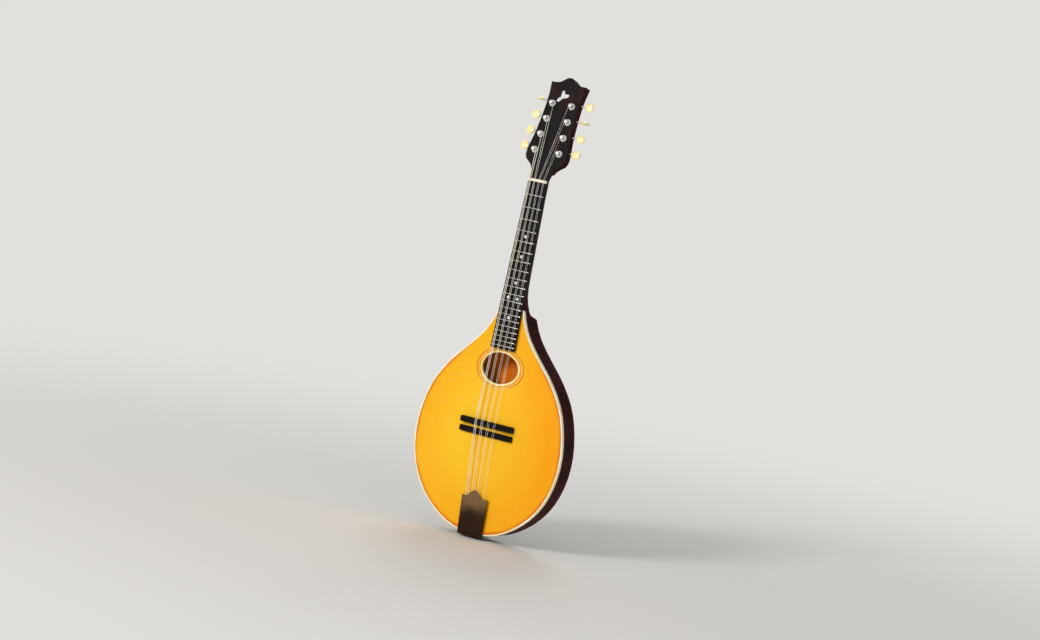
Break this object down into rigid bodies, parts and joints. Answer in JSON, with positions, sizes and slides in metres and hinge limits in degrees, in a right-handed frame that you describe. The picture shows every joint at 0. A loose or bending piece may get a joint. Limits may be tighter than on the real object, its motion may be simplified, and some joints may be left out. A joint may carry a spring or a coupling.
{
  "type": "mandolin",
  "caption": "A-style mandolin with a carved orange top, oval sound hole, dark ribs and neck, double-bar bridge, tailpiece with a slide-on cover, paired strings and geared tuners.",
  "frame": {"origin": "middle of the tail, on the plane of the top's rim, where the body's lower end rests on a stand", "axes": "+X across from the bass strings to the treble strings, +Y from the top to the back, +Z from the tail to the head"},
  "size_m": [0.2506, 0.0758, 0.6807],
  "materials": {
    "spruce_top": "orange stained spruce under gloss varnish",
    "dark_wood": "dark red-brown gloss varnish",
    "bare_wood": "unfinished",
    "ebony": "oiled, satin",
    "binding": "aged cream",
    "ivoroid": "polished ivory colour",
    "pearl": "pearl shell",
    "string_steel": "plain and wound wire",
    "plate_steel": "worn plating",
    "dark_metal": "polished dark plating",
    "nickel": "nickel plate"
  },
  "bodies": {
    "mandolin": {"top_plate": "spruce_top", "back_plate": "dark_wood", "rib_bass": "dark_wood", "rib_treble": "dark_wood", "neck": "dark_wood", "neck_block": "bare_wood", "tail_block": "bare_wood", "cross_brace": "bare_wood", "lining_top_bass": "bare_wood", "lining_top_treble": "bare_wood", "lining_back_bass": "bare_wood", "lining_back_treble": "bare_wood", "head_veneer": "ebony", "fingerboard": "ebony", "bridge_front_bar": "ebony", "bridge_rear_bar": "ebony", "end_pin": "ebony", "top_binding": "binding", "soundhole_binding": "binding", "rosette_ring": "binding", "nut": "ivoroid", "head_inlay": "pearl", "string_g1": "string_steel", "string_g2": "string_steel", "string_d1": "string_steel", "string_d2": "string_steel", "string_a1": "string_steel", "string_a2": "string_steel", "string_e1": "string_steel", "string_e2": "string_steel", "tailpiece_base": "plate_steel", "tuner_plate_bass": "nickel", "tuner_plate_treble": "nickel"},
    "post_bass_1": {"post_bass_1": "nickel"},
    "tuner_bass_1": {"worm_shaft_bass_1": "nickel", "button_bass_1": "ivoroid"},
    "post_bass_2": {"post_bass_2": "nickel"},
    "tuner_bass_2": {"worm_shaft_bass_2": "nickel", "button_bass_2": "ivoroid"},
    "post_bass_3": {"post_bass_3": "nickel"},
    "tuner_bass_3": {"worm_shaft_bass_3": "nickel", "button_bass_3": "ivoroid"},
    "post_bass_4": {"post_bass_4": "nickel"},
    "tuner_bass_4": {"worm_shaft_bass_4": "nickel", "button_bass_4": "ivoroid"},
    "post_treble_1": {"post_treble_1": "nickel"},
    "tuner_treble_1": {"worm_shaft_treble_1": "nickel", "button_treble_1": "ivoroid"},
    "post_treble_2": {"post_treble_2": "nickel"},
    "tuner_treble_2": {"worm_shaft_treble_2": "nickel", "button_treble_2": "ivoroid"},
    "post_treble_3": {"post_treble_3": "nickel"},
    "tuner_treble_3": {"worm_shaft_treble_3": "nickel", "button_treble_3": "ivoroid"},
    "post_treble_4": {"post_treble_4": "nickel"},
    "tuner_treble_4": {"worm_shaft_treble_4": "nickel", "button_treble_4": "ivoroid"},
    "tailpiece_cover": {"tailpiece_cover": "dark_metal"}
  },
  "joints": [
    {"name": "turn_button_bass_1", "type": "hinge", "parent": "mandolin", "child": "tuner_bass_1", "pos_m": [-0.044, 0.02646, 0.56842], "axis": [-1, 0, 0], "continuous": true},
    {"name": "turn_post_bass_1", "type": "hinge", "parent": "mandolin", "child": "post_bass_1", "pos_m": [-0.0206, 0.01775, 0.56527], "axis": [0, 0.9659, -0.2588], "continuous": true},
    {"name": "turn_button_bass_2", "type": "hinge", "parent": "mandolin", "child": "tuner_bass_2", "pos_m": [-0.0429, 0.0327, 0.5917], "axis": [-1, 0, 0], "continuous": true},
    {"name": "turn_post_bass_2", "type": "hinge", "parent": "mandolin", "child": "post_bass_2", "pos_m": [-0.0192, 0.02398, 0.58855], "axis": [0, 0.9659, -0.2588], "continuous": true},
    {"name": "turn_button_bass_3", "type": "hinge", "parent": "mandolin", "child": "tuner_bass_3", "pos_m": [-0.0418, 0.03893, 0.61498], "axis": [-1, 0, 0], "continuous": true},
    {"name": "turn_post_bass_3", "type": "hinge", "parent": "mandolin", "child": "post_bass_3", "pos_m": [-0.0178, 0.03022, 0.61183], "axis": [0, 0.9659, -0.2588], "continuous": true},
    {"name": "turn_button_bass_4", "type": "hinge", "parent": "mandolin", "child": "tuner_bass_4", "pos_m": [-0.0407, 0.04517, 0.63826], "axis": [-1, 0, 0], "continuous": true},
    {"name": "turn_post_bass_4", "type": "hinge", "parent": "mandolin", "child": "post_bass_4", "pos_m": [-0.0164, 0.03646, 0.63511], "axis": [0, 0.9659, -0.2588], "continuous": true},
    {"name": "turn_button_treble_1", "type": "hinge", "parent": "mandolin", "child": "tuner_treble_1", "pos_m": [0.044, 0.02646, 0.56842], "axis": [1, 0, 0], "continuous": true},
    {"name": "turn_post_treble_1", "type": "hinge", "parent": "mandolin", "child": "post_treble_1", "pos_m": [0.0206, 0.01775, 0.56527], "axis": [0, 0.9659, -0.2588], "continuous": true},
    {"name": "turn_button_treble_2", "type": "hinge", "parent": "mandolin", "child": "tuner_treble_2", "pos_m": [0.0429, 0.0327, 0.5917], "axis": [1, 0, 0], "continuous": true},
    {"name": "turn_post_treble_2", "type": "hinge", "parent": "mandolin", "child": "post_treble_2", "pos_m": [0.0192, 0.02398, 0.58855], "axis": [0, 0.9659, -0.2588], "continuous": true},
    {"name": "turn_button_treble_3", "type": "hinge", "parent": "mandolin", "child": "tuner_treble_3", "pos_m": [0.0418, 0.03893, 0.61498], "axis": [1, 0, 0], "continuous": true},
    {"name": "turn_post_treble_3", "type": "hinge", "parent": "mandolin", "child": "post_treble_3", "pos_m": [0.0178, 0.03022, 0.61183], "axis": [0, 0.9659, -0.2588], "continuous": true},
    {"name": "turn_button_treble_4", "type": "hinge", "parent": "mandolin", "child": "tuner_treble_4", "pos_m": [0.0407, 0.04517, 0.63826], "axis": [1, 0, 0], "continuous": true},
    {"name": "turn_post_treble_4", "type": "hinge", "parent": "mandolin", "child": "post_treble_4", "pos_m": [0.0164, 0.03646, 0.63511], "axis": [0, 0.9659, -0.2588], "continuous": true},
    {"name": "slide_tailpiece_cover", "type": "slide", "parent": "mandolin", "child": "tailpiece_cover", "axis": [0, 0, -1], "range_m": [0, 0.03]}
  ],
  "couplings": [
    {"joint": "turn_post_bass_1", "follows": "turn_button_bass_1", "ratio": -0.071429},
    {"joint": "turn_post_bass_2", "follows": "turn_button_bass_2", "ratio": -0.071429},
    {"joint": "turn_post_bass_3", "follows": "turn_button_bass_3", "ratio": -0.071429},
    {"joint": "turn_post_bass_4", "follows": "turn_button_bass_4", "ratio": -0.071429},
    {"joint": "turn_post_treble_1", "follows": "turn_button_treble_1", "ratio": 0.071429},
    {"joint": "turn_post_treble_2", "follows": "turn_button_treble_2", "ratio": 0.071429},
    {"joint": "turn_post_treble_3", "follows": "turn_button_treble_3", "ratio": 0.071429},
    {"joint": "turn_post_treble_4", "follows": "turn_button_treble_4", "ratio": 0.071429}
  ]
}
